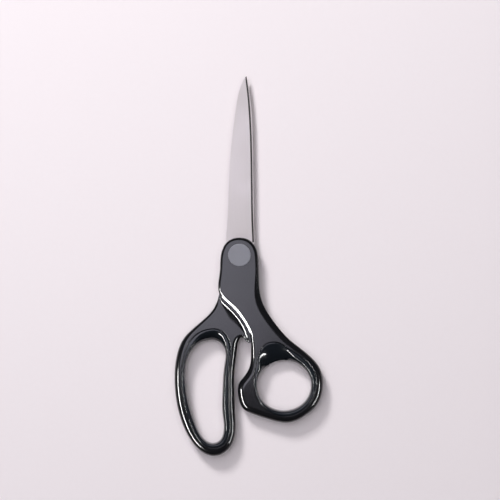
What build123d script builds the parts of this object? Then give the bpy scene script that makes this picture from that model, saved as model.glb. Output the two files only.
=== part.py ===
"""Office scissors, 178 mm long, closed and lying flat, with moulded handles and rubber-lined bows.

Frame: the origin is where the pivot's axis meets the surface that the scissors lie on. +Y runs along the
blades to the tip, +X is the side of the round thumb ring, and +Z points out of the front face.
The front half is the blade and handle on top. It meets the back half at the mid plane.
"""

import os
from math import atan2, cos, sin

from build123d import *

# ---- driving dimensions, in millimetres -------------------------------------------------------------
HANDLE_THICKNESS = 9.0  # from the underside to the front face, over either bow
BLADE_THICKNESS = 1.6
BLADE_GAP = 0.05  # from the mid plane to each blade's inner face
STOP_GAP = 0.3  # between the two walls that stop the handles from closing further
EDGE_RADIUS = 1.2  # rounding of the moulded handles' outer edges
GRIP_RECESS = 0.15  # the rubber lining sits this far under the handle's faces
LIP_SHARE = 0.22  # part of the lining's width that stays flat, as a lip around its mouth
THROAT_LAND = 1.6  # height of the straight wall halfway through each bow

PIVOT_RADIUS = 2.0
PIVOT_CLEARANCE = 0.05  # radial, between the bolt and each blade's hole
RECESS_RADIUS = 4.6  # the round pocket in each handle's shoulder, over the bolt's head and over the nut
HEAD_RADIUS = 3.6
HEAD_HEIGHT = 1.4
HEAD_SLOT_WIDTH = 0.9
HEAD_SLOT_DEPTH = 0.6
WASHER_RADIUS = 4.0
WASHER_THICKNESS = 0.4
WASHER_CONE = 0.3  # how far the spring washer's inner rim stands above its outer rim
WASHER_GAP = 0.03  # between the flat washer and the back blade, which turns on it
NUT_ACROSS_FLATS = 7.0
NUT_HEIGHT = 2.0
CAP_RADIUS = 5.3
CAP_HEIGHT = 2.2
CAP_ROOF = 1.0
CAP_EDGE_RADIUS = 0.4
CAP_SKIRT_WALL = 0.7
CAP_SKIRT_DEPTH = 1.7
BOLT_STANDOUT = 0.2  # the bolt's end passes the nut by this much
BOLT_END_CHAMFER = 0.15
HEAD_EDGE_RADIUS = 0.3
HEAD_SLOT_ANGLE = 35.0

BEVEL_WIDTH = 0.8  # the ground cutting bevel, seen from above
BEVEL_DEPTH = 1.45
BEVEL_OVERRUN = 0.2  # the grinding block passes the blade's face and wall by this much
TANG_HOLE_RADIUS = 1.6
CLEAR = 30.0  # reach of a cutting block past anything that it trims

# ---- heights worked out from them -------------------------------------------------------------------
MID = HANDLE_THICKNESS / 2
TOP = HANDLE_THICKNESS
FRONT_INNER = MID + BLADE_GAP
BACK_INNER = MID - BLADE_GAP
FRONT_STEEL_TOP = FRONT_INNER + BLADE_THICKNESS
BACK_STEEL_BOTTOM = BACK_INNER - BLADE_THICKNESS
HEAD_BOTTOM = FRONT_STEEL_TOP + WASHER_THICKNESS + WASHER_CONE
FLAT_WASHER_BOTTOM = BACK_STEEL_BOTTOM - WASHER_GAP - WASHER_THICKNESS
NUT_BOTTOM = FLAT_WASHER_BOTTOM - NUT_HEIGHT
BOLT_END = NUT_BOTTOM - BOLT_STANDOUT

# ---- outlines, seen from the front face -------------------------------------------------------------
# Front handle: from the crown over the pivot, down its right flank, and round the thumb ring and its lobe.
FRONT_CROWN = [(-5.2, 6.6), (-0.2, 8.1), (4.8, 6.8)]
FRONT_RIGHT_FLANK = [(7.6, 3.4), (8.7, -3.0), (9.0, -12.0), (10.4, -21.2), (15.7, -30.6)]
THUMB_RING = [
    (24.2, -40.2), (32.0, -46.4), (37.5, -52.9), (38.9, -61.2), (36.6, -69.2), (31.0, -74.7), (23.4, -78.1),
    (14.8, -77.0), (6.6, -74.3),
]  # fmt: skip
FRONT_LOBE = [(1.7, -71.7), (-0.5, -66.0), (-0.3, -60.2), (2.4, -56.4), (4.8, -51.8), (5.4, -45.6)]
FRONT_DIAGONAL = [(4.8, -37.0), (1.6, -30.6), (-3.5, -24.2), (-9.4, -18.0)]
FRONT_LEFT_FLANK = [(-9.2, -8.0), (-8.4, 1.2)]

# Back handle: down its left flank, round the finger bow, over the hollow and the cusp to its right flank.
BACK_CROWN = [(4.8, 6.8), (0.2, 7.8), (-4.8, 6.8)]
BACK_LEFT_FLANK = [(-8.0, 2.0), (-8.8, -8.0), (-9.8, -19.4)]
FINGER_BOW = [
    (-13.4, -26.8), (-20.0, -32.9), (-26.2, -39.2), (-29.4, -47.6), (-30.3, -57.0), (-29.7, -66.4),
    (-27.7, -75.6), (-24.0, -84.3), (-19.0, -90.7), (-12.0, -93.8), (-5.4, -90.8), (-2.0, -83.6),
    (-2.0, -75.0), (-2.5, -64.0), (-2.2, -53.0), (-1.0, -43.6),
]  # fmt: skip
BACK_HOLLOW = [(-0.4, -40.2), (1.0, -38.4), (2.6, -39.4)]
BACK_CUSP = [(4.3, -41.0), (6.3, -40.4)]
BACK_RIGHT_EDGE = [(7.0, -37.4), (7.8, -32.4), (9.2, -22.0)]
BACK_RIGHT_FLANK = [(9.0, -8.0), (8.0, 2.0)]

# The wall where the back handle steps from its full thickness down to the shank under the front half.
BACK_STEP = [
    (-9.8, -19.7), (-4.9, -24.3), (-1.2, -28.2), (1.2, -31.5), (3.1, -35.3), (4.3, -39.8), (4.6, -43.0),
]  # fmt: skip
# The front handle's own step ends here, on its right flank.
FRONT_STEP_END = (9.9, -19.0)

# The linings: each one's mouth in the handle's face, and the throat that it leaves halfway through.
THUMB_CENTRE = (20.8, -60.9)
THUMB_THROAT_RADII = (12.6, 11.8)
THUMB_MOUTH = [
    (15.8, -40.6), (11.2, -42.6), (8.6, -48.6), (7.0, -55.6), (7.4, -63.6), (11.0, -70.4), (20.5, -75.0),
    (29.6, -72.0), (35.0, -64.6), (34.9, -54.8), (30.2, -48.4), (22.0, -43.2),
]  # fmt: skip
FINGER_MOUTH = [
    (-13.2, -34.5), (-7.6, -36.1), (-4.4, -41.4), (-4.7, -50.0), (-5.0, -62.0), (-4.8, -74.0),
    (-4.8, -83.6), (-8.0, -88.6), (-13.0, -89.6), (-18.6, -86.8), (-22.6, -79.6), (-25.6, -70.0),
    (-26.8, -58.4), (-26.0, -47.4), (-20.4, -37.4),
]  # fmt: skip
FINGER_THROAT = [
    (-13.4, -39.6), (-9.2, -40.8), (-6.8, -44.4), (-7.1, -51.6), (-7.9, -62.0), (-8.0, -73.4),
    (-7.4, -81.8), (-9.4, -86.8), (-13.1, -87.9), (-17.2, -85.3), (-20.6, -78.8), (-23.6, -69.4),
    (-25.1, -58.4), (-24.3, -48.6), (-19.5, -41.6),
]  # fmt: skip

# Blades: the spine, the tip, the cutting edge, and the tang that the handle is moulded over.
FRONT_BLADE_BASE = (-6.6, 3.0)
FRONT_SPINE = [(-5.2, 25.9), (-4.0, 49.4), (-1.7, 68.2), (1.2, 80.2)]
FRONT_TIP = (3.2, 83.7)
FRONT_EDGE = [(4.6, 72.9), (5.7, 54.1), (6.1, 30.0)]
FRONT_HEEL = (6.8, 6.0)
FRONT_TANG = [(7.0, -6.0), (8.4, -22.0), (6.6, -28.6), (2.2, -26.6), (-5.6, -10.0)]
BACK_BLADE_BASE = (7.2, 3.0)
BACK_SPINE = [(6.6, 28.0), (6.2, 54.1), (5.1, 72.9)]
BACK_TIP = (3.4, 83.3)
BACK_EDGE = [(1.7, 79.4), (-1.2, 68.2), (-3.4, 49.4), (-4.6, 25.9)]
BACK_HEEL = (-6.2, 6.0)
BACK_TANG = [(-6.8, -8.0), (-7.6, -16.8), (-3.2, -21.9), (0.6, -26.0), (5.6, -10.0)]
FRONT_TANG_HOLES = [(1.4, -13.0), (5.0, -22.0)]
BACK_TANG_HOLES = [(-1.8, -13.0), (-1.6, -19.6)]


def part_way(start, end, share):
    """The points at that share of the way from each start point to its end point."""
    return [(a[0] + (b[0] - a[0]) * share, a[1] + (b[1] - a[1]) * share) for a, b in zip(start, end)]


def thumb_throat():
    """The thumb hole's ellipse, at the same bearings from its centre as the mouth's points."""
    (cx, cy), (rx, ry) = THUMB_CENTRE, THUMB_THROAT_RADII
    bearings = [atan2((y - cy) / ry, (x - cx) / rx) for x, y in THUMB_MOUTH]
    return [(cx + rx * cos(t), cy + ry * sin(t)) for t in bearings]


def handle_body(outline):
    """A handle's outline at the full thickness, with its outer edges rounded."""
    with BuildPart() as body:
        with BuildSketch():
            with BuildLine():
                Spline(*outline, periodic=True)
            make_face()
        extrude(amount=TOP)
        fillet(body.faces().filter_by(GeomType.PLANE).edges(), radius=EDGE_RADIUS)
    return body.part


def lining(mouth, throat):
    """A rubber lining: it fills the mouth, and narrows from a flat lip on each face to the throat."""
    lip = part_way(mouth, throat, LIP_SHARE)
    low, high = GRIP_RECESS, TOP - GRIP_RECESS
    with BuildPart() as grip:
        with BuildSketch(Plane.XY.offset(low)):
            with BuildLine():
                Spline(*mouth, periodic=True)
            make_face()
        extrude(amount=high - low)
        with BuildSketch(Plane.XY.offset(low)):
            with BuildLine():
                Spline(*throat, periodic=True)
            make_face()
        extrude(amount=high - low, mode=Mode.SUBTRACT)
        for face_height, land_height in ((high, MID + THROAT_LAND / 2), (low, MID - THROAT_LAND / 2)):
            with BuildSketch(Plane.XY.offset(face_height)):
                with BuildLine():
                    Spline(*lip, periodic=True)
                make_face()
            with BuildSketch(Plane.XY.offset(land_height)):
                with BuildLine():
                    Spline(*throat, periodic=True)
                make_face()
            loft(mode=Mode.SUBTRACT)
    return grip.part


def blade(base, spine, tip, edge, heel, tang, holes, inner, side):
    """A flat ground blade with its inner face at the given height.

    Side is 1 for the blade that lies above its inner face and cuts on the right, and -1 for the other.
    """
    outer = inner + BLADE_THICKNESS * side
    with BuildPart() as steel:
        with BuildSketch(Plane.XY.offset(inner)):
            with BuildLine():
                Spline(base, *spine, tip)
                Spline(tip, *edge, heel)
                Polyline(heel, *tang, base)
            make_face()
            Circle(PIVOT_RADIUS + PIVOT_CLEARANCE, mode=Mode.SUBTRACT)
            with Locations(*holes):
                Circle(TANG_HOLE_RADIUS, mode=Mode.SUBTRACT)
        extrude(amount=BLADE_THICKNESS * side)
        # The cutting bevel: a block with a slanted wall that follows the edge, taken off the outer face.
        beyond_tip = (tip[0], tip[1] + 1)
        for rise in (-BEVEL_DEPTH - BEVEL_OVERRUN, BEVEL_OVERRUN):
            shift = -(rise + BEVEL_DEPTH) * BEVEL_WIDTH / BEVEL_DEPTH * side
            with BuildSketch(Plane.XY.offset(outer + rise * side)):
                with BuildLine():
                    wall = Spline(*[(x + shift, y) for x, y in (beyond_tip, *edge, heel)])
                    Polyline(wall @ 1, (CLEAR * side, heel[1]), (CLEAR * side, beyond_tip[1]), wall @ 0)
                make_face()
        loft(ruled=True, mode=Mode.SUBTRACT)
    return steel.part


# ---- blades ------------------------------------------------------------------------------------------
front_blade = blade(
    FRONT_BLADE_BASE, FRONT_SPINE, FRONT_TIP, FRONT_EDGE, FRONT_HEEL,
    FRONT_TANG, FRONT_TANG_HOLES, FRONT_INNER, 1,
)  # fmt: skip
back_blade = blade(
    BACK_BLADE_BASE, BACK_SPINE, BACK_TIP, BACK_EDGE, BACK_HEEL,
    BACK_TANG, BACK_TANG_HOLES, BACK_INNER, -1,
)  # fmt: skip

# ---- handles -----------------------------------------------------------------------------------------
front_body = handle_body(
    [*THUMB_RING, *FRONT_LOBE, *FRONT_DIAGONAL, *FRONT_LEFT_FLANK, *FRONT_CROWN, *FRONT_RIGHT_FLANK]
)
with BuildPart() as front_handle:
    add(front_body)
    # The back shank lies under this one. There the lower half is cut away, up to a wall that stops on it.
    with BuildSketch(Plane.XY.offset(FRONT_INNER)):
        with BuildLine():
            foot = (BACK_CUSP[0][0], BACK_CUSP[0][1] - STOP_GAP)
            stop = [(x + STOP_GAP, y) for x, y in (BACK_CUSP[1], *BACK_RIGHT_EDGE)]
            wall = Spline(foot, *stop, FRONT_STEP_END)
            right, top, left = (CLEAR, FRONT_STEP_END[1]), (CLEAR, CLEAR), (-CLEAR, CLEAR)
            Polyline(wall @ 1, right, top, left, (-CLEAR, foot[1]), wall @ 0)
        make_face()
    extrude(amount=-TOP, mode=Mode.SUBTRACT)
    with BuildSketch():
        with BuildLine():
            Spline(*THUMB_MOUTH, periodic=True)
        make_face()
    extrude(amount=TOP, mode=Mode.SUBTRACT)
    with BuildSketch(Plane.XY.offset(FRONT_STEEL_TOP)):
        Circle(RECESS_RADIUS)
    extrude(amount=TOP, mode=Mode.SUBTRACT)
    add(front_blade, mode=Mode.SUBTRACT)
    Hole(PIVOT_RADIUS + PIVOT_CLEARANCE)
front_handle.part.label = "front_handle"
export_step(front_handle.part, "parts/front_handle.step")

back_body = handle_body([
    *FINGER_BOW, *BACK_HOLLOW, *BACK_CUSP,
    *BACK_RIGHT_EDGE, *BACK_RIGHT_FLANK, *BACK_CROWN, *BACK_LEFT_FLANK,
])  # fmt: skip
with BuildPart() as back_handle:
    add(back_body)
    # The front shank lies over this one: there the upper half is cut away.
    with BuildSketch(Plane.XY.offset(BACK_INNER)):
        with BuildLine():
            wall = Spline(*BACK_STEP)
            right, top, left = (CLEAR, BACK_STEP[-1][1]), (CLEAR, CLEAR), (-CLEAR, CLEAR)
            Polyline(wall @ 1, right, top, left, (-CLEAR, BACK_STEP[0][1]), wall @ 0)
        make_face()
    extrude(amount=TOP, mode=Mode.SUBTRACT)
    with BuildSketch():
        with BuildLine():
            Spline(*FINGER_MOUTH, periodic=True)
        make_face()
    extrude(amount=TOP, mode=Mode.SUBTRACT)
    with BuildSketch():
        Circle(RECESS_RADIUS)
    extrude(amount=BACK_STEEL_BOTTOM, mode=Mode.SUBTRACT)
    add(back_blade, mode=Mode.SUBTRACT)
    Hole(PIVOT_RADIUS + PIVOT_CLEARANCE)
back_handle.part.label = "back_handle"
export_step(back_handle.part, "parts/back_handle.step")

front_blade.label = "front_blade"
export_step(front_blade, "parts/front_blade.step")
back_blade.label = "back_blade"
export_step(back_blade, "parts/back_blade.step")

# ---- rubber linings ----------------------------------------------------------------------------------
thumb_ring_grip = lining(THUMB_MOUTH, thumb_throat())
thumb_ring_grip.label = "thumb_ring_grip"
export_step(thumb_ring_grip, "parts/thumb_ring_grip.step")

finger_bow_grip = lining(FINGER_MOUTH, FINGER_THROAT)
finger_bow_grip.label = "finger_bow_grip"
export_step(finger_bow_grip, "parts/finger_bow_grip.step")

# ---- pivot -------------------------------------------------------------------------------------------
with BuildPart() as pivot_bolt:
    with BuildSketch(Plane.XY.offset(BOLT_END)):
        Circle(PIVOT_RADIUS)
    extrude(amount=HEAD_BOTTOM - BOLT_END)
    chamfer(pivot_bolt.faces().sort_by(Axis.Z)[0].edges(), length=BOLT_END_CHAMFER)
    with BuildSketch(Plane.XY.offset(HEAD_BOTTOM)):
        Circle(HEAD_RADIUS)
    extrude(amount=HEAD_HEIGHT)
    fillet(pivot_bolt.faces().sort_by(Axis.Z)[-1].edges(), radius=HEAD_EDGE_RADIUS)
    with BuildSketch(Plane.XY.offset(HEAD_BOTTOM + HEAD_HEIGHT)):
        Rectangle(2 * HEAD_RADIUS, HEAD_SLOT_WIDTH, rotation=HEAD_SLOT_ANGLE)
    extrude(amount=-HEAD_SLOT_DEPTH, mode=Mode.SUBTRACT)
pivot_bolt.part.label = "pivot_bolt"
export_step(pivot_bolt.part, "parts/pivot_bolt.step")

# A coned washer: its outer rim presses on the blade and its inner rim on the bolt's head.
with BuildPart() as spring_washer:
    with BuildSketch(Plane.XZ):
        with BuildLine():
            bore = PIVOT_RADIUS + PIVOT_CLEARANCE
            Polyline(
                (WASHER_RADIUS, FRONT_STEEL_TOP),
                (WASHER_RADIUS, FRONT_STEEL_TOP + WASHER_THICKNESS),
                (bore, FRONT_STEEL_TOP + WASHER_THICKNESS + WASHER_CONE),
                (bore, FRONT_STEEL_TOP + WASHER_CONE),
                close=True,
            )
        make_face()
    revolve(axis=Axis.Z)
spring_washer.part.label = "spring_washer"
export_step(spring_washer.part, "parts/spring_washer.step")

with BuildPart() as flat_washer:
    with BuildSketch(Plane.XY.offset(FLAT_WASHER_BOTTOM)):
        Circle(WASHER_RADIUS)
        Circle(PIVOT_RADIUS + PIVOT_CLEARANCE, mode=Mode.SUBTRACT)
    extrude(amount=WASHER_THICKNESS)
flat_washer.part.label = "flat_washer"
export_step(flat_washer.part, "parts/flat_washer.step")

with BuildPart() as pivot_nut:
    with BuildSketch(Plane.XY.offset(NUT_BOTTOM)):
        RegularPolygon(NUT_ACROSS_FLATS / 2, 6, major_radius=False)
        Circle(PIVOT_RADIUS, mode=Mode.SUBTRACT)
    extrude(amount=NUT_HEIGHT)
pivot_nut.part.label = "pivot_nut"
export_step(pivot_nut.part, "parts/pivot_nut.step")

# A round cap closes the front recess, with a skirt that plugs into it around the bolt's head.
with BuildPart() as pivot_cap:
    with BuildSketch(Plane.XY.offset(TOP)):
        Circle(CAP_RADIUS)
    extrude(amount=CAP_HEIGHT)
    fillet(pivot_cap.faces().sort_by(Axis.Z)[-1].edges(), radius=CAP_EDGE_RADIUS)
    with BuildSketch(Plane.XY.offset(TOP - CAP_SKIRT_DEPTH)):
        Circle(RECESS_RADIUS)
    extrude(amount=CAP_SKIRT_DEPTH)
    with BuildSketch(Plane.XY.offset(TOP - CAP_SKIRT_DEPTH)):
        Circle(RECESS_RADIUS - CAP_SKIRT_WALL)
    extrude(amount=CAP_SKIRT_DEPTH + CAP_HEIGHT - CAP_ROOF, mode=Mode.SUBTRACT)
pivot_cap.part.label = "pivot_cap"
export_step(pivot_cap.part, "parts/pivot_cap.step")
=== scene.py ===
# %% [markdown]
# # Office scissors
#
# A closed pair of right-handed office scissors lies flat, seen from straight above: two satin steel
# blades, two charcoal handles moulded over their tangs, a glossy soft lining in each bow, and a
# round cap over the pivot.
#
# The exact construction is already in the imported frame. Here the moulded handles and linings are
# rebuilt as finer meshes around the frame's own outlines, and every piece gets a finish. The frame
# is in metres, with +Y towards the blades' tip, +X on the thumb's side and +Z out of the front
# face.

# %% Load the frame
import math

import bmesh
import bpy
import numpy as np
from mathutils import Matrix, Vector
from mathutils.geometry import tessellate_polygon


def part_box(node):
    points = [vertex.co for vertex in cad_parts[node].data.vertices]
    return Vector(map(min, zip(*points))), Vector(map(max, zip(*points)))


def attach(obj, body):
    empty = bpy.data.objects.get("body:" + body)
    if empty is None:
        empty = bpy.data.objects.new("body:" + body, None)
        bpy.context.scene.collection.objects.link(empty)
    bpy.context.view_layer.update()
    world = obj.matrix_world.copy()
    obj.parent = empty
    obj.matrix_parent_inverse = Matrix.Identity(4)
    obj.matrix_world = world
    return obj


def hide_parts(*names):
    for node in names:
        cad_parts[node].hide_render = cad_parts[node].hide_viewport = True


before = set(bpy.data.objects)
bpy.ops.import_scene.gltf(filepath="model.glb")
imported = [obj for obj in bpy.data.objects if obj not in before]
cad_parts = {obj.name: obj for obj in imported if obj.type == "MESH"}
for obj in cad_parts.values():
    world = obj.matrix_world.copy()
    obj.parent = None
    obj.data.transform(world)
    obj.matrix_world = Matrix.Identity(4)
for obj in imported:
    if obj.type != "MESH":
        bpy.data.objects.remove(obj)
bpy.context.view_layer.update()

MM = 0.001
scene = bpy.context.scene
print("frame loaded:", len(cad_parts), "pieces")

# %% [markdown]
# ## Camera
#
# A product shot of something flat is taken from straight above with a long lens, so that the
# outline keeps its true proportions. The image's up direction is +Y.

# %% Camera
CAMERA_HEIGHT = 0.98
FIELD_WIDTH = 0.235  # width of the picture at the scissors
VIEW_CENTRE = (4.9 * MM, 2.35 * MM)

camera = bpy.data.objects.new("camera", bpy.data.cameras.new("camera"))
camera.data.sensor_width = 36
camera.data.lens = camera.data.sensor_width * CAMERA_HEIGHT / FIELD_WIDTH
camera.data.clip_end = 10
camera.location = (*VIEW_CENTRE, CAMERA_HEIGHT)
scene.collection.objects.link(camera)
scene.camera = camera
# The plain transform shows each colour as it is mixed, like a catalogue print.
scene.view_settings.view_transform = "Standard"
print("lens", round(camera.data.lens), "mm")

# %% [markdown]
# ## A colour and a node
#
# Colours are written as sRGB hex codes and turned into the linear values that Blender mixes. One
# helper adds a shader node with its settings and its links, so that each material below reads as a
# short list of nodes.

# %% Colour and node helpers
def linear(code):
    """A #rrggbb code as linear red, green, blue and alpha."""
    parts = [int(code[i : i + 2], 16) / 255 for i in (1, 3, 5)]
    return (*[p / 12.92 if p <= 0.04045 else ((p + 0.055) / 1.055) ** 2.4 for p in parts], 1)


def node(material, kind, settings=None, **inputs):
    """Adds a node. Settings are set on it, and each input is a value or another node's socket."""
    new = material.node_tree.nodes.new("ShaderNode" + kind)
    for name, value in (settings or {}).items():
        setattr(new, name, value)
    for name, value in inputs.items():
        socket = new.inputs[int(name[1:])] if name[0] == "_" else new.inputs[name.replace("_", " ")]
        if isinstance(value, bpy.types.NodeSocket):
            material.node_tree.links.new(value, socket)
        else:
            socket.default_value = value
    return new


def new_material(name):
    """An empty material, and its output node."""
    material = bpy.data.materials.new(name)
    material.use_nodes = True
    material.node_tree.nodes.clear()
    return material, node(material, "OutputMaterial")


def dress(name, material):
    """Gives a carried-over CAD node its finish."""
    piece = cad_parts[name]
    piece.data.materials.clear()
    piece.data.materials.append(material)


# %% [markdown]
# ## Charcoal ABS
#
# The handles are injection-moulded ABS. Moulded ABS has an IOR near 1.54 and takes the mould's
# finish: here a smooth satin, with crisp highlights along the rounded edges. Its surface ripples
# very slightly as it cools, and hands leave it a little smoother in places, so both the bump and
# the roughness vary over a few millimetres.

# %% Charcoal ABS
def charcoal_abs():
    material, output = new_material("charcoal ABS, satin moulded")
    place = node(material, "TexCoord").outputs["Object"]
    # Handling polishes patches about as wide as a fingertip's contact, 9 mm.
    handling = node(material, "TexNoise", Vector=place, Scale=1 / (9 * MM), Detail=3.0)
    rough = node(material, "MapRange", Value=handling.outputs["Fac"], To_Min=0.12, To_Max=0.15)
    # Flow in the mould leaves the pigment slightly uneven, over about 4 mm.
    tint = node(material, "TexNoise", Vector=place, Scale=1 / (4 * MM), Detail=5.0)
    colour = node(
        material, "Mix", {"data_type": "RGBA"},
        _0=tint.outputs["Fac"], _6=linear("#0d0d0f"), _7=linear("#121215"),
    )
    # Spark-eroded moulds leave grains near 0.05 mm. They are drawn at 0.3 mm, so that they can
    # show.
    grain = node(material, "TexNoise", Vector=place, Scale=1 / (0.3 * MM), Detail=2.0)
    bump = node(material, "Bump", Height=grain.outputs["Fac"], Strength=0.03, Distance=0.02 * MM)
    shader = node(
        material, "BsdfPrincipled", Base_Color=colour.outputs[2],
        Roughness=rough.outputs["Result"], IOR=1.54, Normal=bump.outputs["Normal"],
    )
    material.node_tree.links.new(shader.outputs["BSDF"], output.inputs["Surface"])
    return material


abs_plastic = charcoal_abs()

# %% [markdown]
# ## Black TPR
#
# The linings are thermoplastic rubber, moulded into the bows in a second shot. TPR is softer than
# the ABS round it, with a slightly lower IOR, and this one is a blue-black with a wet-looking
# gloss.

# %% Black TPR
def black_tpr():
    material, output = new_material("black TPR, glossy moulded")
    place = node(material, "TexCoord").outputs["Object"]
    # Oil that rises to the surface dulls the rubber a little, in patches near 6 mm.
    bloom = node(material, "TexNoise", Vector=place, Scale=1 / (6 * MM), Detail=4.0)
    rough = node(material, "MapRange", Value=bloom.outputs["Fac"], To_Min=0.1, To_Max=0.16)
    colour = node(
        material, "Mix", {"data_type": "RGBA"},
        _0=bloom.outputs["Fac"], _6=linear("#0f1216"), _7=linear("#151a20"),
    )
    # The skin shrinks as it cools, and ripples faintly over about 2.5 mm.
    ripple = node(material, "TexNoise", Vector=place, Scale=1 / (2.5 * MM), Detail=1.0)
    bump = node(material, "Bump", Height=ripple.outputs["Fac"], Strength=0.06, Distance=0.1 * MM)
    shader = node(
        material, "BsdfPrincipled", Base_Color=colour.outputs[2],
        Roughness=rough.outputs["Result"], IOR=1.5, Normal=bump.outputs["Normal"],
    )
    material.node_tree.links.new(shader.outputs["BSDF"], output.inputs["Surface"])
    return material


tpr = black_tpr()

# %% [markdown]
# ## Satin stainless steel
#
# The blades are stainless strip, ground on a belt that leaves fine scratches along their length. A
# noise stretched along Y draws them, and gives the flat faces a silky sheen. The sides and bevels
# get painted shade, a much darker colour, so that a dark line outlines each blade.

# %% Satin stainless steel
def satin_stainless():
    material, output = new_material("stainless steel, satin ground")
    place = node(material, "TexCoord").outputs["Object"]
    # Belt scratches are about 0.02 mm apart. They are drawn coarser, so that they can show.
    apart, long = 0.15 * MM, 12 * MM
    stretched = node(material, "Mapping", Vector=place, Scale=(1 / apart, 1 / long, 1 / apart))
    scratches = node(
        material, "TexNoise",
        Vector=stretched.outputs["Vector"], Scale=1.0, Detail=4.0, Roughness=0.65,
    )
    # The belt's pressure drifts, which leaves duller clouds about 15 mm across.
    cloud = node(material, "TexNoise", Vector=place, Scale=1 / (15 * MM), Detail=2.0)
    mixed = node(
        material, "Math", {"operation": "ADD"},
        _0=scratches.outputs["Fac"], _1=cloud.outputs["Fac"],
    )
    rough = node(
        material, "MapRange", Value=mixed.outputs["Value"],
        From_Min=0.6, From_Max=1.4, To_Min=0.33, To_Max=0.46,
    )
    colour = node(
        material, "Mix", {"data_type": "RGBA"},
        _0=scratches.outputs["Fac"], _6=linear("#d0c9c4"), _7=linear("#dfd8d3"),
    )
    # Only the level faces are ground. The sides and bevels get painted shade: faces tilted past about
    # 25 degrees darken, and past 53 degrees they are dark.
    facing = node(material, "SeparateXYZ", Vector=node(material, "TexCoord").outputs["Normal"])
    level = node(material, "Math", {"operation": "ABSOLUTE"}, _0=facing.outputs["Z"])
    ground = node(material, "MapRange", Value=level.outputs["Value"], From_Min=0.6, From_Max=0.9)
    # The dark colour here is painted shade for the line along each blade's edge.
    colour = node(
        material, "Mix", {"data_type": "RGBA"},
        _0=ground.outputs["Result"], _6=linear("#3a3938"), _7=colour.outputs[2],
    )
    bump = node(material, "Bump", Height=scratches.outputs["Fac"], Strength=0.12, Distance=0.02 * MM)
    shader = node(
        material, "BsdfPrincipled", Base_Color=colour.outputs[2], Metallic=1.0,
        Roughness=rough.outputs["Result"], Normal=bump.outputs["Normal"],
    )
    material.node_tree.links.new(shader.outputs["BSDF"], output.inputs["Surface"])
    return material


stainless = satin_stainless()
dress("front_blade", stainless)
dress("back_blade", stainless)

# %% [markdown]
# ## Zinc-plated steel and grey ABS
#
# The bolt, nut and washers are ordinary hardware with a thin bright zinc plating, duller and
# slightly bluer than the blades. It gives the nut soft grey glints in its open recess. The cap is a
# paler grey ABS than the handles, with an even sheen and no sharp highlight.

# %% Zinc-plated steel
def zinc_plated_steel():
    material, output = new_material("steel, zinc plated")
    place = node(material, "TexCoord").outputs["Object"]
    # The steel under the plating is faintly mottled, in cells of about 0.8 mm.
    spangle = node(material, "TexVoronoi", Vector=place, Scale=1 / (0.8 * MM))
    rough = node(material, "MapRange", Value=spangle.outputs["Distance"], To_Min=0.28, To_Max=0.42)
    colour = node(
        material, "Mix", {"data_type": "RGBA"},
        _0=spangle.outputs["Distance"], _6=linear("#a9adb3"), _7=linear("#bfc2c6"),
    )
    shader = node(
        material, "BsdfPrincipled",
        Base_Color=colour.outputs[2], Metallic=1.0, Roughness=rough.outputs["Result"],
    )
    material.node_tree.links.new(shader.outputs["BSDF"], output.inputs["Surface"])
    return material


zinc = zinc_plated_steel()
for name in ("pivot_bolt", "pivot_nut", "spring_washer", "flat_washer"):
    dress(name, zinc)


# %% Grey ABS
def grey_abs():
    material, output = new_material("grey ABS, satin moulded")
    place = node(material, "TexCoord").outputs["Object"]
    # The mould's polish and some handling let the gloss drift over about 3 mm.
    handling = node(material, "TexNoise", Vector=place, Scale=1 / (3 * MM), Detail=3.0)
    rough = node(material, "MapRange", Value=handling.outputs["Fac"], To_Min=0.28, To_Max=0.4)
    colour = node(
        material, "Mix", {"data_type": "RGBA"},
        _0=handling.outputs["Fac"], _6=linear("#6c6c74"), _7=linear("#76767e"),
    )
    shader = node(
        material, "BsdfPrincipled",
        Base_Color=colour.outputs[2], Roughness=rough.outputs["Result"], IOR=1.54,
    )
    material.node_tree.links.new(shader.outputs["BSDF"], output.inputs["Surface"])
    return material


dress("pivot_cap", grey_abs())
print("finishes:", [material.name for material in bpy.data.materials])

# %% [markdown]
# ## Outlines from the frame
#
# A finer handle must keep the frame's exact outline. The CAD mesh holds it: wherever a wall meets a
# face or a rounded edge at one height, there is a chain of level mesh edges. We collect those
# chains, and redraw each one as a smooth curve with evenly spaced points.

# %% Read level outlines
LEVEL = 0.002 * MM  # how far a level edge's ends may be from its height
CAD_WELD = 1e-7  # metres: points of the frame's mesh that are closer than this are one


def length_of(line):
    return np.linalg.norm(np.diff(line, axis=0), axis=1).sum()


def outlines(name, height, side):
    """Chains of level edges of a CAD piece, longest first.

    Side is 1 for edges with a surface above them, and -1 for those with one below.
    """
    cad = bmesh.new()
    cad.from_mesh(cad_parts[name].data)
    bmesh.ops.remove_doubles(cad, verts=cad.verts, dist=CAD_WELD)
    neighbours = {}
    for edge in cad.edges:
        level = all(abs(v.co.z - height) < LEVEL for v in edge.verts)
        around = [v.co.z - height for f in edge.link_faces for v in f.verts]
        if level and any(rise * side > LEVEL for rise in around):
            a, b = edge.verts
            neighbours.setdefault(a, []).append(b)
            neighbours.setdefault(b, []).append(a)
    chains = []
    while neighbours:
        here = min(neighbours, key=lambda v: len(neighbours[v]))
        chain = []
        while here is not None:
            chain.append(here.co.xy[:])
            here = next((v for v in neighbours.pop(here) if v in neighbours), None)
        chains.append(counterclockwise(np.array(chain)))
    cad.free()
    return sorted(chains, key=length_of, reverse=True)


def counterclockwise(loop):
    x, y = loop.T
    return loop if np.sum(x * np.roll(y, -1) - y * np.roll(x, -1)) > 0 else loop[::-1]


# %% Redraw a line smoothly
STEP = 0.4 * MM  # spacing of the points along every outline
FINE = 0.04 * MM  # closer spacing, for finding a place on an outline


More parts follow.
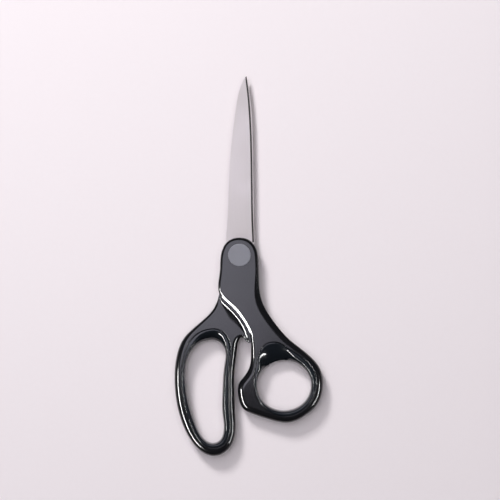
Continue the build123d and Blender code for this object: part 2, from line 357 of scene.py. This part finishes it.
def smooth_line(points, spacing, closed=True):
    """Evenly spaced points on a smooth curve through the given ones."""
    before = points[-2:] if closed else 2 * points[:1] - points[1:2]
    after = points[:3] if closed else 2 * points[-1:] - points[-2:-1]
    run = np.vstack([before, points, after])
    at = np.concatenate([[0], np.cumsum(np.linalg.norm(np.diff(run, axis=0), axis=1))])
    step = np.diff(at)[:, None]
    slope = np.diff(run, axis=0) / step
    tangent = np.zeros_like(run)
    tangent[1:-1] = (slope[:-1] * step[1:] + slope[1:] * step[:-1]) / (step[:-1] + step[1:])
    first = len(before)
    last = first + len(points) - (0 if closed else 1)
    count = max(3, round((at[last] - at[first]) / spacing))
    wanted = np.linspace(at[first], at[last], count, endpoint=not closed)
    i = np.clip(np.searchsorted(at, wanted, side="right") - 1, first, last - 1)
    t = ((wanted - at[i]) / (at[i + 1] - at[i]))[:, None]
    h = step[i]
    return (
        (1 + 2 * t) * (1 - t) ** 2 * run[i]
        + t * (1 - t) ** 2 * h * tangent[i]
        + t * t * (3 - 2 * t) * run[i + 1]
        + t * t * (t - 1) * h * tangent[i + 1]
    )


# %% [markdown]
# ## Rounded edges
#
# A moulded edge is a quarter turn of surface between a wall and a face. We draw it as a stack of
# closed rings: each ring is the outline moved inwards and upwards along the quarter turn. How far
# it may move depends on the place, because a thin arm has less room than a broad shoulder, so every
# point of an outline has its own radius.

# %% Directions and room
def inward(loop):
    """Unit directions into a counterclockwise outline."""
    along = np.roll(loop, -1, axis=0) - np.roll(loop, 1, axis=0)
    along /= np.linalg.norm(along, axis=1)[:, None]
    return np.column_stack([-along[:, 1], along[:, 0]])


def room(loop, others):
    """How far each point of an outline is from the nearest other point ahead of it, inwards.

    Ahead means within 60 degrees of straight inwards. Where nothing is, the room is 1 m.
    """
    gap = others[None] - loop[:, None]
    distance = np.linalg.norm(gap, axis=2) + 1e-9
    ahead = np.einsum("ijk,ik->ij", gap, inward(loop)) / distance
    return np.where(ahead > 0.5, distance, 1.0).min(axis=1)


def blur(values, reach):
    """Evens out values round a closed outline, over that length to each side."""
    n = max(1, round(reach / STEP))
    padded = np.concatenate([values[-n:], values, values[:n]])
    return np.convolve(padded, np.ones(2 * n + 1) / (2 * n + 1), mode="valid")


# %% Rings of a rounded edge
EDGE_RINGS = 16
FLAT_RIM = 0.08 * MM  # a last ring this far out on the wall and the face keeps their shading flat


def section(points):
    """A section as shares of the edge's width and depth, one for each ring, on a smooth curve."""
    points = np.array(points)
    spacing = np.linalg.norm(np.diff(points, axis=0), axis=1).sum() / (EDGE_RINGS + 1)
    return smooth_line(points, spacing, closed=False)


turns = np.radians(90) * np.arange(EDGE_RINGS + 1) / EDGE_RINGS
ROUND = np.column_stack([1 - np.cos(turns), 1 - np.sin(turns)])
# A slanted facet, with its two borders softened.
FACET = section([
    (0, 1), (0.03, 0.82), (0.1, 0.7), (0.3, 0.52), (0.6, 0.27), (0.82, 0.09), (0.92, 0.02), (1, 0),
])  # fmt: skip
# A narrow lip, with its widths in mm, that falls inwards at about 22 degrees.
LIP = np.array([
    (0, 1), (0.03, 0.8), (0.13, 0.46), (0.24, 0.16),
    (0.34, 0.02), (0.48, 0.1), (0.64, 0.22), (0.8, 0.34),
])  # fmt: skip


def scooped(wide):
    """Sections with the lip beside the step, and a long shallow rise from it to the face."""
    lip_end = np.minimum(LIP[-1, 0] * MM / wide, 1)[:, None]
    rise = np.arange(1, EDGE_RINGS + 2 - len(LIP)) / (EDGE_RINGS + 1 - len(LIP))
    across = np.hstack([lip_end * LIP[:, 0] / LIP[-1, 0], lip_end + (1 - lip_end) * rise])
    down = np.concatenate([LIP[:, 1], LIP[-1, 1] * (1 - rise) ** 2])
    return np.stack([across, np.broadcast_to(down, across.shape)], axis=2)


def edge_rings(loop, wide, deep, face, up, shape=ROUND):
    """Rings from the wall to the face, for an edge that wide, seen from above, and that deep."""
    side = inward(loop)
    shape = np.broadcast_to(shape, (len(loop), EDGE_RINGS + 1, 2))

    def ring(inset, below):
        return np.column_stack([loop + side * inset[:, None], face - up * below])

    rings = [ring(wide * shape[:, k, 0], deep * shape[:, k, 1]) for k in range(EDGE_RINGS + 1)]
    return [ring(wide * 0, deep + FLAT_RIM), *rings, ring(wide + FLAT_RIM, deep * 0)]


def mixed_shape(share, other):
    """The rounded section, turning into another one where the share is 1."""
    return ROUND + (other - ROUND) * share[:, None, None]


def level_ring(loop, height):
    return np.column_stack([loop, np.full(len(loop), height)])


# %% [markdown]
# ## Building a mesh from rings
#
# Rings are joined by strips of four-sided faces, and each flat face is filled between its rims, so
# that every piece is one closed surface.

# %% Join rings and fill faces
SEAM_WELD = 1e-6  # metres: points of two strips that are closer than this are one
SHARP_ANGLE = math.radians(32)  # a crease sharper than this stays crisp


def add_strips(mesh, rings):
    """Strips of faces between neighbouring rings. Returns the first and last ring's vertices."""
    made = [[mesh.verts.new(p) for p in ring] for ring in rings]
    for low, high in zip(made, made[1:]):
        for i in range(len(low)):
            mesh.faces.new((low[i - 1], low[i], high[i], high[i - 1]))
    return made[0], made[-1]


def fill(mesh, *rims):
    """A flat face with the first rim outside, and any others as holes in it."""
    corners = [v for rim in rims for v in rim]
    for triangle in tessellate_polygon([[v.co for v in rim] for rim in rims]):
        mesh.faces.new([corners[i] for i in triangle])


def closed_object(mesh, name):
    """The finished object, with its seams welded and its faces turned outwards."""
    bmesh.ops.remove_doubles(mesh, verts=mesh.verts, dist=SEAM_WELD)
    bmesh.ops.recalc_face_normals(mesh, faces=mesh.faces)
    gaps = sum(1 for e in mesh.edges if len(e.link_faces) != 2)
    data = bpy.data.meshes.new(name)
    mesh.to_mesh(data)
    mesh.free()
    made = bpy.data.objects.new(name, data)
    scene.collection.objects.link(made)
    print(name, len(data.polygons), "faces,", gaps, "edges not shared by two faces")
    return made


def carve(piece, *cutters):
    """Cuts each cutter out of the piece, and deletes it."""
    for cutter in cutters:
        change = piece.modifiers.new("carve", "BOOLEAN")
        change.operation = "DIFFERENCE"
        change.solver = "EXACT"
        change.object = cutter
        cut = piece.evaluated_get(bpy.context.evaluated_depsgraph_get())
        result = bpy.data.meshes.new_from_object(cut)
        piece.modifiers.clear()
        piece.data = result
        bpy.data.objects.remove(cutter)


def finish_piece(piece, material, body, node_name):
    """Smooth shading, a finish, and the piece's place in the model."""
    piece.data.materials.clear()
    piece.data.materials.append(material)
    piece.data.polygons.foreach_set("use_smooth", [True] * len(piece.data.polygons))
    piece.data.set_sharp_from_angle(angle=SHARP_ANGLE)
    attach(piece, body)
    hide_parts(node_name)


# %% [markdown]
# ## Handles
#
# Each handle is full thickness round its bow, and half thickness along its shank, where the other
# handle lies under or over it. So it has two outlines that share a run round the bow: the whole
# one, and one that turns off along the step. The level land between the two is where the handles
# slide over each other. The shank's edges are rounded a little over 1 mm, and the bows are rounded
# much more, so that they feel like tubes in the hand.
#
# Two edges differ. The front shank's slanting edge is a flat facet, and the back handle's face dips
# towards its step and ends in a narrow lip. Each one catches a long thin highlight.

# %% Heights that the handles share
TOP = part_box("front_handle")[1].z
FRONT_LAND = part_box("front_blade")[0].z
BACK_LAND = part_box("back_blade")[1].z
CAD_EDGE = 1.2 * MM  # how deep the frame's own edges are rounded
LINING_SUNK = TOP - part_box("thumb_ring_grip")[1].z
print("handles", round(TOP / MM, 2), "mm thick, lining sunk", round(LINING_SUNK / MM, 2), "mm")


# %% Find the step's turn-offs
def nearest(points, place):
    return int(np.linalg.norm(points - place, axis=1).argmin())


def split_outline(name, wall_height, wall_side, land, step_side):
    """The run shared round the bow, the flank that only the whole outline has, and the step line.

    The flank and the step both go on from the end of the shared run, and lead back to its start.
    """
    whole = smooth_line(outlines(name, wall_height, wall_side)[0], FINE)
    step = outlines(name, land, step_side)[0]
    ends = sorted(nearest(whole, step[k]) for k in (0, -1))
    pieces = [whole[ends[0] : ends[1] + 1], np.vstack([whole[ends[1] :], whole[: ends[0] + 1]])]
    shared, flank = sorted(pieces, key=lambda run: run[:, 1].mean())
    if np.linalg.norm(step[0] - flank[0]) > np.linalg.norm(step[-1] - flank[0]):
        step = step[::-1]
    step[0], step[-1] = flank[0], flank[-1]
    return [smooth_line(run, STEP, closed=False) for run in (shared, flank, step)]


def join_runs(first, second):
    """A closed outline from two runs that share their end points."""
    return np.vstack([first[:-1], second[:-1]])


# %% How much each edge is rounded
SHANK_EDGE = (1.4 * MM, 1.2 * MM)  # width seen from above, and depth
THUMB_SIDE_EDGE = 3.2 * MM  # width of the upper edge on the thumb's side
BOW_EDGE = (3.0 * MM, 2.4 * MM)
FACET_EDGE = (1.4 * MM, 0.7 * MM)  # along the front shank's slanting edge, beside the step
STEP_EDGE = (7.5 * MM, 0.6 * MM)  # where the back handle's face dips before its step
BARE_EDGE = (0.3 * MM, 0.3 * MM)  # along a step that nobody touches
MOUTH_EDGE = 0.35 * MM  # round the hole that holds the lining
MOUTH_RIM = 0.2 * MM  # flat face that is left beside it


def soft_step(values, start, end):
    """0 before start and 1 after end, turning smoothly in between."""
    t = np.clip((values - start) / (end - start), 0, 1)
    return t * t * (3 - 2 * t)


def nearness(loop, line, reach):
    """1 on the line, and 0 from that far away."""
    gap = np.linalg.norm(loop[:, None] - line[None], axis=2).min(axis=1)
    return soft_step(-gap, -reach, 0)


def edge_size(loop, mouth, thumb_side, special, special_edge):
    """The width and depth of the rounding at each point. Special is 1 where another edge is wanted."""
    # The bow's rounding sets in 6 mm above the mouth, and is whole 14 mm below the mouth's top.
    bow = soft_step(-loop[:, 1], -mouth[:, 1].max() - 6 * MM, 14 * MM - mouth[:, 1].max())
    # The thumb's side faces +X, and starts between 6 and 24 mm below the pivot.
    thumb_share = soft_step(-inward(loop)[:, 0], 0.3, 0.9) * soft_step(-loop[:, 1], 6 * MM, 24 * MM)
    shank_wide = SHANK_EDGE[0] + (thumb_side - SHANK_EDGE[0]) * thumb_share
    wide = shank_wide + (BOW_EDGE[0] - shank_wide) * bow
    deep = SHANK_EDGE[1] + (BOW_EDGE[1] - SHANK_EDGE[1]) * bow
    wide = wide + (special_edge[0] - wide) * special
    deep = deep + (special_edge[1] - deep) * special
    # An edge may take less than half of an arm, and less than the radius of a bend.
    limit = np.minimum(room(loop, mouth) - MOUTH_EDGE - MOUTH_RIM, 0.42 * room(loop, loop))
    limit = np.minimum(limit, 0.8 * curve_radius(loop))
    wide = np.minimum(wide, blur(np.minimum(wide, limit), 1.5 * MM))
    wide = np.clip(blur(np.minimum(wide, limit), 0.8 * MM), 0.05 * MM, None)
    return wide, np.minimum(blur(deep, 2 * MM), 1.2 * wide)


def curve_radius(loop):
    """The radius of an outline's convex bends. Straight and hollow stretches give 1 m."""
    reach = 3
    a, b = loop - np.roll(loop, reach, axis=0), np.roll(loop, -reach, axis=0) - loop
    turn = np.arctan2(a[:, 0] * b[:, 1] - a[:, 1] * b[:, 0], (a * b).sum(axis=1))
    return np.where(turn > 0.01, reach * STEP / np.maximum(turn, 0.01), 1.0)


# %% Build a handle
def half_handle(mesh, loop, mouth, land, face, up, wide, deep, shape=ROUND):
    """The walls, the rounded edges and the flat face on one side of the land."""
    rings = [level_ring(loop, land), *edge_rings(loop, wide, deep, face, up, shape)]
    rim = add_strips(mesh, rings)[1]
    # The mouth's own edge is rounded the other way, into the plastic.
    size = np.full(len(mouth), MOUTH_EDGE)
    hole = [level_ring(mouth[::-1], TOP / 2), *edge_rings(mouth[::-1], size, size, face, up)]
    fill(mesh, rim, add_strips(mesh, hole)[1])


def add_land(mesh, flank, step, land):
    """The level face between the flank and the step."""
    fill(mesh, [mesh.verts.new((*p, land)) for p in join_runs(flank, step[::-1])])


def slanting(loop, low, high):
    """1 along the shank's slanting edge, between the two heights up the handle."""
    facing = soft_step(inward(loop)[:, 0], 0.3, 0.6)
    along = soft_step(loop[:, 1], low, low + 3 * MM) * soft_step(-loop[:, 1], -high, 3 * MM - high)
    return blur(facing * along, 1.2 * MM)


# %% Cutters for what is set into the handles
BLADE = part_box("front_blade")[1].z - FRONT_LAND  # how thick the steel is
RECESS_RADIUS = 4.6 * MM
OVERCUT = 1 * MM  # how far a cutter reaches past the face that it opens
RECESS_LAP = 0.2 * MM  # how far a recess reaches into the pocket below it
BOLT_REACH = 5 * MM  # a hole nearer the pivot than this is the bolt's


def prism(low, high, *loops):
    """A straight-sided block: the first loop is its outline, and any others are holes in it."""
    mesh = bmesh.new()
    ends = [add_strips(mesh, [level_ring(loop, low), level_ring(loop, high)]) for loop in loops]
    for rims in zip(*ends):
        fill(mesh, *rims)
    return closed_object(mesh, "cutter")


def circle(radius, count=64):
    turns = np.linspace(0, 2 * math.pi, count, endpoint=False)
    return radius * np.column_stack([np.cos(turns), np.sin(turns)])


def tang_cutter(blade, inner_face, side):
    """The blade's shape, open on its inner side. Its tang's holes stay, so that plastic fills them."""
    outer = inner_face + side * BLADE
    lines = outlines(blade, inner_face, side)
    tang_holes = [o for o in lines[1:] if np.linalg.norm(o.mean(axis=0)) > BOLT_REACH]
    low, high = sorted((inner_face - side * OVERCUT, outer))
    return prism(low, high, lines[0], *tang_holes)


# %% Front handle
FACET_RUN = (-40 * MM, -16 * MM)  # the slanting edge's lower and upper end

thumb_mouth = smooth_line(outlines("thumb_ring_grip", TOP - LINING_SUNK, -1)[0], STEP)
shared, flank, step = split_outline("front_handle", TOP - CAD_EDGE, 1, FRONT_LAND, -1)
mesh = bmesh.new()
upper = join_runs(shared, flank)
facet = slanting(upper, *FACET_RUN)
wide, deep = edge_size(upper, thumb_mouth, THUMB_SIDE_EDGE, facet, FACET_EDGE)
half_handle(mesh, upper, thumb_mouth, FRONT_LAND, TOP, 1, wide, deep, mixed_shape(facet, FACET))
lower = join_runs(shared, step)
bare = nearness(lower, step, 0.5 * STEP)
wide, deep = edge_size(lower, thumb_mouth, SHANK_EDGE[0], bare, BARE_EDGE)
half_handle(mesh, lower, thumb_mouth, FRONT_LAND, 0, -1, wide, deep)
add_land(mesh, flank, step, FRONT_LAND)
front_handle = closed_object(mesh, "moulded_front_handle")
carve(
    front_handle,
    tang_cutter("front_blade", FRONT_LAND, 1),
    prism(FRONT_LAND + BLADE - RECESS_LAP, TOP + OVERCUT, circle(RECESS_RADIUS)),
)
finish_piece(front_handle, abs_plastic, "front_half", "front_handle")

# %% Back handle
finger_mouth = smooth_line(outlines("finger_bow_grip", TOP - LINING_SUNK, -1)[0], STEP)
shared, flank, step = split_outline("back_handle", CAD_EDGE, -1, BACK_LAND, 1)
mesh = bmesh.new()
lower = join_runs(shared, flank)
wide, deep = edge_size(lower, finger_mouth, SHANK_EDGE[0], np.zeros(len(lower)), BARE_EDGE)
half_handle(mesh, lower, finger_mouth, BACK_LAND, 0, -1, wide, deep)
upper = join_runs(shared, step)
beside_step = blur(nearness(upper, step, 0.5 * STEP), 2 * MM)
wide, deep = edge_size(upper, finger_mouth, SHANK_EDGE[0], beside_step, STEP_EDGE)
lipped = mixed_shape(beside_step, scooped(wide))
half_handle(mesh, upper, finger_mouth, BACK_LAND, TOP, 1, wide, deep, lipped)
add_land(mesh, flank, step, BACK_LAND)
back_handle = closed_object(mesh, "moulded_back_handle")
carve(
    back_handle,
    tang_cutter("back_blade", BACK_LAND, -1),
    prism(-OVERCUT, BACK_LAND - BLADE + RECESS_LAP, circle(RECESS_RADIUS)),
)
finish_piece(back_handle, abs_plastic, "back_half", "back_handle")

# %% [markdown]
# ## Linings
#
# Each lining is a ring of rubber. On the narrow arms it has a flat lip on either face, and rolls
# over in a quarter of an ellipse to the throat halfway through. Where it flares out, the lip shrinks
# to a rim and the roll is drawn out into a slope. We pair every point of the mouth with the nearest
# point of the throat, even the pairing out so that it does not bunch up, and draw rings that run
# from one to the other.

# %% Pair the mouth with the throat
LIP_ROUND = 0.3 * MM
LIP_RINGS = 4
ROLL_RINGS = 16
THROAT_LAND = 1.6 * MM  # height of the straight wall halfway through
LIP_SHARE = 0.5  # how much of the way to the throat the lip takes on a narrow arm
FLARE_LOSS = 0.42  # and how much less of it on the flare
SLOPE_SHARE = 0.75  # how far the flare's roll is straightened
SLOPE_BOW = 1.15  # 1 would be a dead straight slope


def paired(mouth, throat):
    """A point of the throat for each point of the mouth."""
    fine = smooth_line(throat, FINE)
    picked = np.array([nearest(fine, p) for p in mouth])
    ahead = np.diff(picked, append=picked[0])
    ahead = (ahead + len(fine) // 2) % len(fine) - len(fine) // 2
    drift = picked[0] + np.concatenate([[0], np.cumsum(ahead[:-1])])
    even_pace = np.arange(len(mouth)) * len(fine) / len(mouth)
    evened = even_pace + blur(drift - even_pace, 3 * MM)
    return fine[np.round(evened).astype(int) % len(fine)]


# %% Build a lining
def rubber_lining(name, mouth):
    """A lining between the mouth's outline and the throat's, both read from its CAD node."""
    high = TOP - LINING_SUNK
    throat_top = TOP / 2 + THROAT_LAND / 2
    throat = paired(mouth, outlines(name, throat_top, 1)[0])
    # A lining up to 3 mm wide is a narrow arm, and from 6 mm on it is all flare.
    across = np.linalg.norm(throat - mouth, axis=1)
    flare = soft_step(blur(across, 2 * MM), 3 * MM, 6 * MM)[:, None]
    lip_end = mouth + (throat - mouth) * (LIP_SHARE - FLARE_LOSS * flare)
    upper = [level_ring(mouth, TOP / 2)]
    for k in range(LIP_RINGS + 1):
        turn = math.radians(90) * k / LIP_RINGS
        place = mouth + inward(mouth) * LIP_ROUND * (1 - math.cos(turn))
        upper.append(level_ring(place, high - LIP_ROUND * (1 - math.sin(turn))))
    for k in range(ROLL_RINGS + 1):
        turn = math.radians(90) * k / ROLL_RINGS
        rolled = np.array([math.sin(turn), math.cos(turn)])
        # On the flare the quarter turn is drawn out towards a straight slope.
        straight = np.array([k / ROLL_RINGS, 1 - (k / ROLL_RINGS) ** SLOPE_BOW])
        share = rolled + (straight - rolled) * SLOPE_SHARE * flare
        place = lip_end + (throat - lip_end) * share[:, :1]
        upper.append(np.column_stack([place, throat_top + (high - throat_top) * share[:, 1]]))
    upper.append(level_ring(throat, TOP / 2))
    mesh = bmesh.new()
    add_strips(mesh, upper)
    add_strips(mesh, [ring * (1, 1, -1) + (0, 0, TOP) for ring in upper])
    return closed_object(mesh, "moulded_" + name)


for name, mouth, body in (
    ("thumb_ring_grip", thumb_mouth, "front_half"),
    ("finger_bow_grip", finger_mouth, "back_half"),
):
    lining = rubber_lining(name, mouth)
    finish_piece(lining, tpr, body, name)

# %% [markdown]
# ## Floor and light
#
# The scissors lie on matt card, which gives an even pale ground with no highlight of its own. A
# level panel overhead is what the flat faces mirror. A key from the upper left and a broad ceiling
# light the card and the pieces, and stay out of mirror reflections, where they would wash the black
# plastic grey. The world is nearly dark, so that edges which face away from every light stay deep.

# %% Floor
def matt_card():
    material, output = new_material("pale matt card")
    place = node(material, "TexCoord").outputs["Object"]
    # Paper fibres clump in patches of about 2 mm.
    fibres = node(material, "TexNoise", Vector=place, Scale=1 / (2 * MM), Detail=4.0)
    colour = node(
        material, "Mix", {"data_type": "RGBA"},
        _0=fibres.outputs["Fac"], _6=linear("#e0d8db"), _7=linear("#e2dadd"),
    )
    shader = node(material, "BsdfPrincipled", Base_Color=colour.outputs[2], Roughness=0.9)
    shader.inputs["Specular IOR Level"].default_value = 0.1
    material.node_tree.links.new(shader.outputs["BSDF"], output.inputs["Surface"])
    return material


FLOOR_REACH = 1.5  # metres to each side
FLOOR_HEIGHT = -0.02 * MM  # just below the scissors, so that no two faces share a height

floor_mesh = bmesh.new()
square = [(x * FLOOR_REACH, y * FLOOR_REACH) for x, y in ((-1, -1), (1, -1), (1, 1), (-1, 1))]
floor_mesh.faces.new([floor_mesh.verts.new((*corner, FLOOR_HEIGHT)) for corner in square])
floor_data = bpy.data.meshes.new("floor")
floor_mesh.to_mesh(floor_data)
floor_data.materials.append(matt_card())
floor = bpy.data.objects.new("floor", floor_data)
scene.collection.objects.link(floor)


# %% Lights
def softbox(name, azimuth, elevation, distance, size, power):
    """An area light that faces the pivot, in degrees, metres and watts. Azimuth runs from +X to +Y."""
    light = bpy.data.lights.new(name, "AREA")
    light.shape = "RECTANGLE"
    light.size, light.size_y = size
    light.energy = power
    lamp = bpy.data.objects.new(name, light)
    turn, rise = math.radians(azimuth), math.radians(elevation)
    level = math.cos(rise)
    spot = Vector((math.cos(turn) * level, math.sin(turn) * level, math.sin(rise))) * distance
    lamp.location = spot
    lamp.rotation_euler = (-spot).to_track_quat("-Z", "Y").to_euler()
    scene.collection.objects.link(lamp)
    return lamp


panel = softbox("overhead panel", 150, 78, 1.28, (0.55, 0.5), 2.5)
panel.rotation_euler = (0, 0, 0)  # it hangs level, so its edges line up with the scissors
panel.data.color = linear("#f0eeff")[:3]
softbox("key", 118, 42, 1.1, (0.25, 0.25), 9).visible_glossy = False
softbox("ceiling", 118, 80, 1.6, (1.6, 1.6), 16).visible_glossy = False

# %% [markdown]
# ## Lights for one material
#
# Two narrow strips draw the crisp streaks along the plastic's rounded edges. They would burn out
# satin steel, so they are kept off the blades and the cap. Those get four large cards round the
# table instead, so that they have something pale to mirror from any side. All six are seen only in
# reflections.

# %% Strips and reflector cards
SATIN = ("front_blade", "back_blade", "pivot_cap")
STRIP_RISE, STRIP_AWAY = 44, 1.0  # degrees above the table, and metres from the pivot
CARD_RISE, CARD_AWAY = 32, 2.0
CARD_SIZE, CARD_POWER = (3.0, 1.8), 22


def only_for(lamp, kept, names):
    """Limits a light to some of the frame's nodes, or keeps it off them."""
    group = bpy.data.collections.new(lamp.name + " pieces")
    for name in names:
        group.objects.link(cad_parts[name])
    for member in group.collection_objects:
        member.light_linking.link_state = "INCLUDE" if kept else "EXCLUDE"
    lamp.light_linking.receiver_collection = group
    lamp.visible_diffuse = False


for name, azimuth, size, power in (
    ("left strip", 212, (0.7, 0.07), 17),
    ("right strip", -25, (0.5, 0.04), 6),
):
    only_for(softbox(name, azimuth, STRIP_RISE, STRIP_AWAY, size, power), False, SATIN)
for azimuth in (45, 135, 225, 315):
    card = softbox("reflector card", azimuth, CARD_RISE, CARD_AWAY, CARD_SIZE, CARD_POWER)
    only_for(card, True, SATIN)

scene.world = bpy.data.worlds.new("studio")
scene.world.use_nodes = True
backdrop = scene.world.node_tree.nodes["Background"]
backdrop.inputs["Color"].default_value = linear("#e6e2e6")
backdrop.inputs["Strength"].default_value = 0.05
